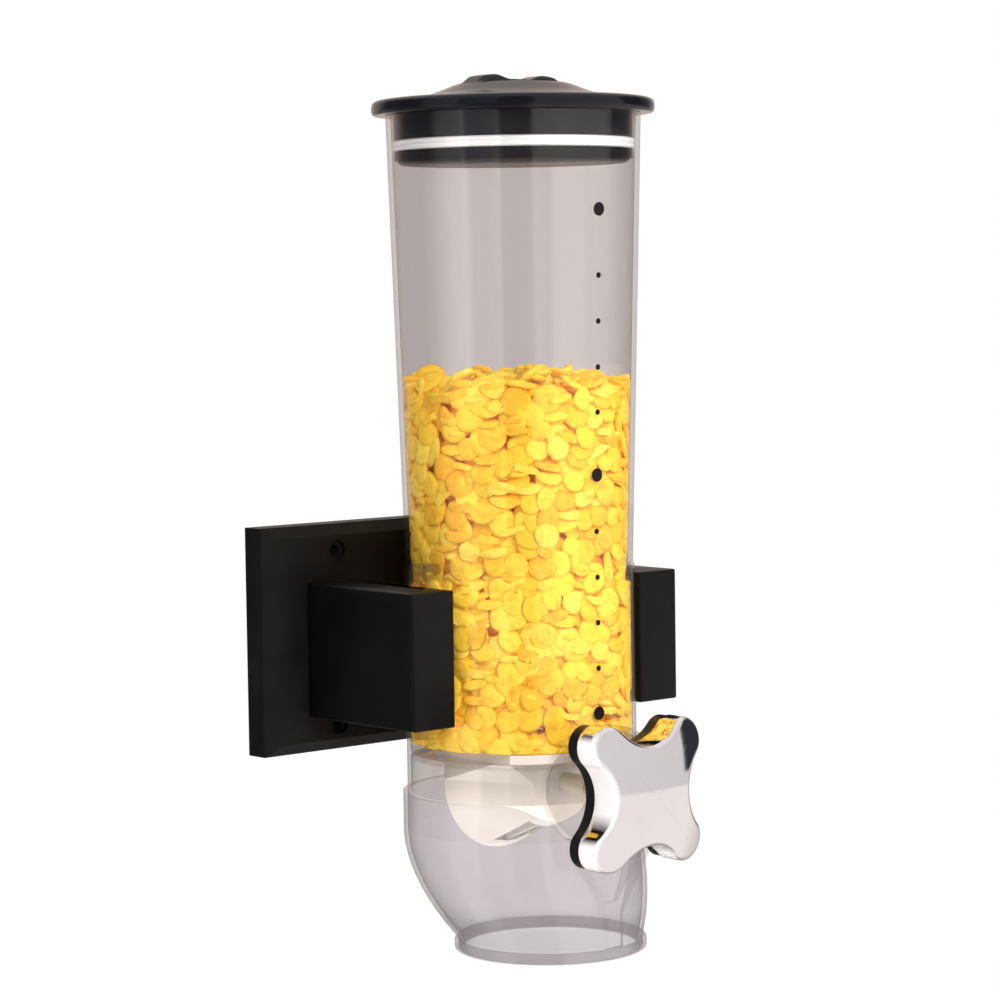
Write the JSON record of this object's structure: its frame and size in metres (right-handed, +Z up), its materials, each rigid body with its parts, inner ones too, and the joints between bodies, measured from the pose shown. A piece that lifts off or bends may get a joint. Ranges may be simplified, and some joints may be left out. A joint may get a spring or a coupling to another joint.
{
  "type": "wall-mounted cereal dispenser",
  "caption": "Wall-mounted rotary dry-food dispenser: a clear canister drops into a wall bracket, and a front knob turns a paddle wheel over a clear spout.",
  "frame": {"origin": "centre of the wall plate's back face, on the wall", "axes": "+Z up, +Y into the wall, -Y to the front where the knob is, +X to the right seen from the front"},
  "size_m": [0.204, 0.159, 0.3924],
  "materials": {
    "bracket_black": "satin, fine texture",
    "lid_black": "gloss",
    "clear_canister": "clear, faint warm grey tint",
    "clear_spout": "clear, faint lavender tint",
    "white_plastic": "satin white",
    "cream_bushing": "satin cream",
    "soft_white": "soft, translucent white",
    "seal_silicone": "soft, translucent white",
    "black_print": "printed black",
    "knob_chrome": "bright plated",
    "steel": "bright"
  },
  "bodies": {
    "bracket": {"wall_plate": "bracket_black", "left_arm": "bracket_black", "right_arm": "bracket_black", "arm_screws": "steel"},
    "canister": {"canister_tube": "clear_canister", "level_marks": "black_print", "dispenser_body": "clear_canister", "metering_hopper": "white_plastic", "front_bushing": "cream_bushing", "rear_bushing": "cream_bushing", "shaft_seal": "seal_silicone"},
    "bowl": {"lower_bowl": "clear_spout", "spout_ring": "clear_spout"},
    "rotor": {"drive_shaft": "cream_bushing", "retaining_ring": "steel", "wheel_core": "white_plastic", "paddle_wheel": "soft_white", "knob_base": "lid_black", "knob_shell": "knob_chrome", "knob_clip": "steel"},
    "lid": {"lid_cover": "lid_black", "lid_seal": "seal_silicone", "lid_plug": "lid_black"}
  },
  "joints": [
    {"name": "canister_lift", "type": "slide", "parent": "bracket", "child": "canister", "axis": [0, 0, 1], "range_m": [0, 0.09]},
    {"name": "lid_lift", "type": "slide", "parent": "canister", "child": "lid", "axis": [0, 0, 1], "range_m": [0, 0.08]},
    {"name": "knob_turn", "type": "hinge", "parent": "canister", "child": "rotor", "pos_m": [0, -0.07, -0.064], "axis": [0, 1, 0], "continuous": true},
    {"name": "bowl_release", "type": "slide", "parent": "canister", "child": "bowl", "axis": [0, 0, -1], "range_m": [0, 0.08]}
  ]
}
